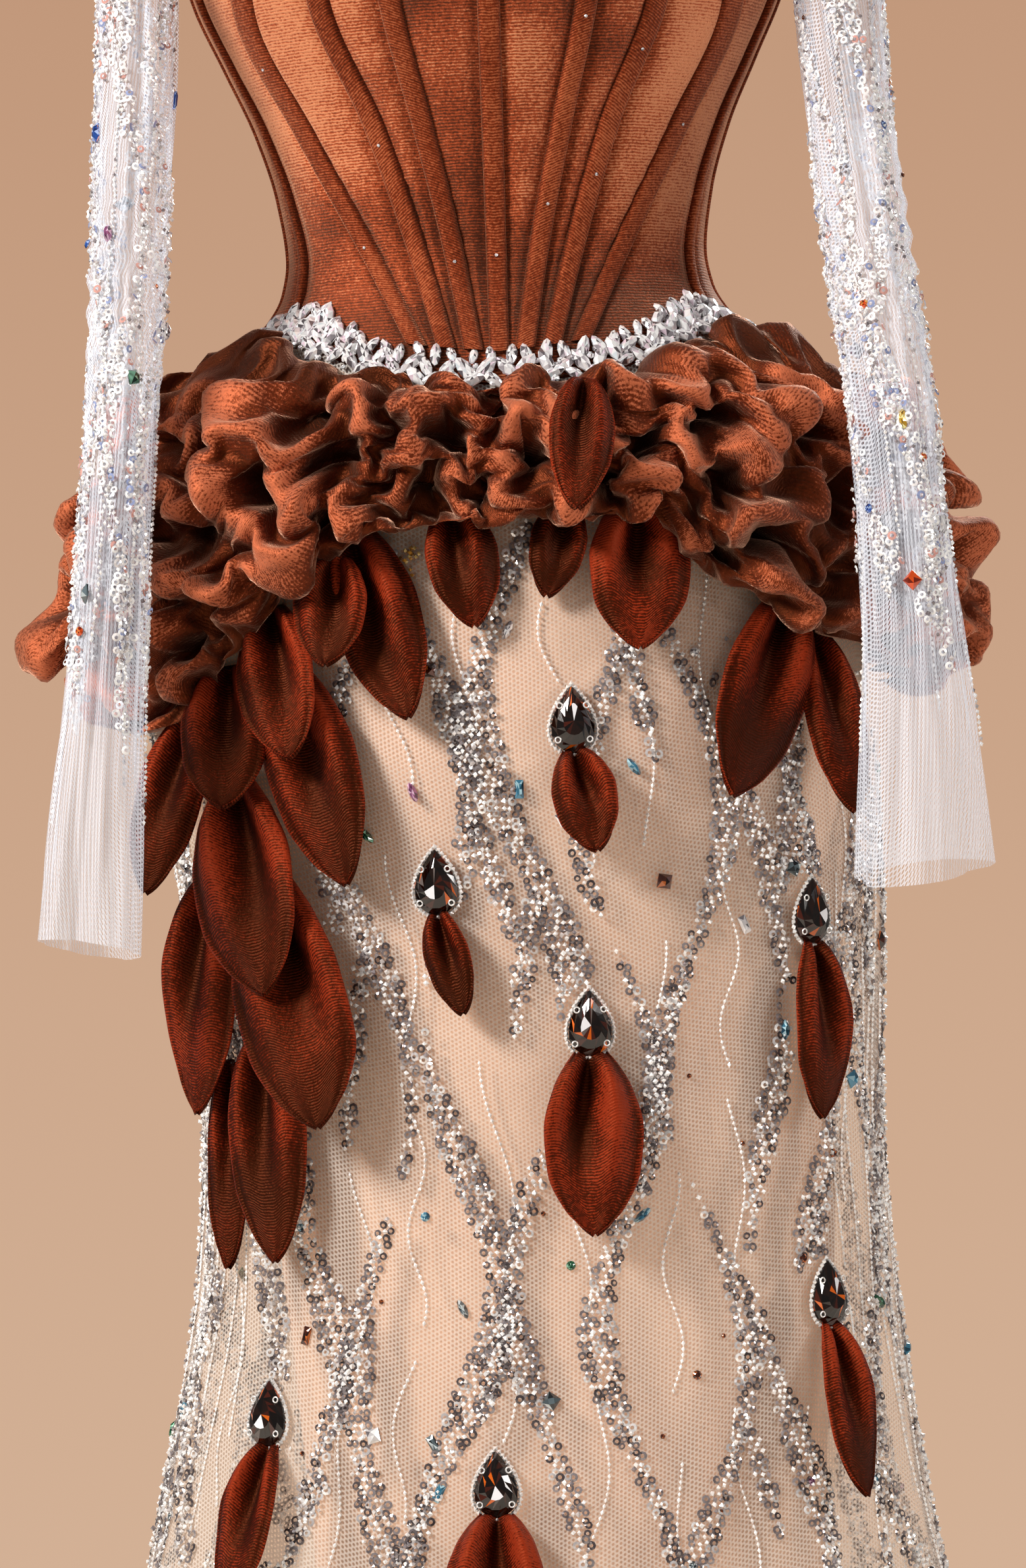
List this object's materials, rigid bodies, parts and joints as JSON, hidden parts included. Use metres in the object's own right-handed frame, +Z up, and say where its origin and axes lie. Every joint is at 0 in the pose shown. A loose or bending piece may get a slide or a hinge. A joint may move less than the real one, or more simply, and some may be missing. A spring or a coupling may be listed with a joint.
{
  "type": "mermaid evening dress",
  "caption": "Floor-length mermaid evening dress, boned velvet corset, gathered peplum, beaded net skirt and sleeves, hollow as worn.",
  "frame": {"origin": "centre of the waist, where the wearer's waist carries the dress", "axes": "+Z up along the dress, -Y to the front, +X to the right of someone who looks at the front"},
  "size_m": [0.8038, 0.6596, 1.472],
  "materials": {
    "velvet": "rust brown silk velvet",
    "velvet_strip": "rust brown velvet, narrow sewn channels",
    "velvet_leaf": "rust brown velvet, doubled and edge stitched",
    "net": "white net with ring sequins and glass beads",
    "sleeve_net": "white tulle with sequins, beads and coloured stones",
    "nude_lining": "nude stretch lining",
    "crystal": "clear cut crystals in metal cups",
    "brown_glass": "dark amber cut glass in a crystal rim"
  },
  "bodies": {
    "root": {"bodice_front": "velvet", "bodice_side_left": "velvet", "bodice_side_right": "velvet", "bodice_back_left": "velvet", "bodice_back_right": "velvet", "channel_centre": "velvet_strip", "channel_left_1": "velvet_strip", "channel_left_2": "velvet_strip", "channel_left_3": "velvet_strip", "channel_left_4": "velvet_strip", "channel_left_5": "velvet_strip", "channel_right_1": "velvet_strip", "channel_right_2": "velvet_strip", "channel_right_3": "velvet_strip", "channel_right_4": "velvet_strip", "channel_right_5": "velvet_strip", "channel_back": "velvet_strip", "crystal_trim_front": "crystal", "crystal_trim_back": "crystal", "yoke_front": "sleeve_net", "yoke_back": "sleeve_net", "sleeve_left": "sleeve_net", "sleeve_right": "sleeve_net", "peplum_front": "velvet", "peplum_left": "velvet", "peplum_right": "velvet", "skirt_front": "net", "skirt_back": "net", "lining": "nude_lining", "leaf_left_a": "velvet_leaf", "leaf_left_b": "velvet_leaf", "leaf_left_c": "velvet_leaf", "leaf_left_d": "velvet_leaf", "leaf_left_e": "velvet_leaf", "leaf_left_f": "velvet_leaf", "leaf_left_g": "velvet_leaf", "leaf_left_h": "velvet_leaf", "leaf_left_i": "velvet_leaf", "leaf_left_j": "velvet_leaf", "leaf_left_k": "velvet_leaf", "leaf_centre_a": "velvet_leaf", "leaf_centre_b": "velvet_leaf", "leaf_centre_c": "velvet_leaf", "leaf_centre_d": "velvet_leaf", "leaf_right_a": "velvet_leaf", "leaf_right_b": "velvet_leaf", "stone_1": "brown_glass", "stone_2": "brown_glass", "stone_3": "brown_glass", "stone_4": "brown_glass", "stone_5": "brown_glass", "stone_6": "brown_glass", "stone_7": "brown_glass", "stone_leaf_1": "velvet_leaf", "stone_leaf_2": "velvet_leaf", "stone_leaf_3": "velvet_leaf", "stone_leaf_4": "velvet_leaf", "stone_leaf_5": "velvet_leaf", "stone_leaf_6": "velvet_leaf", "stone_leaf_7": "velvet_leaf"}
  },
  "joints": []
}
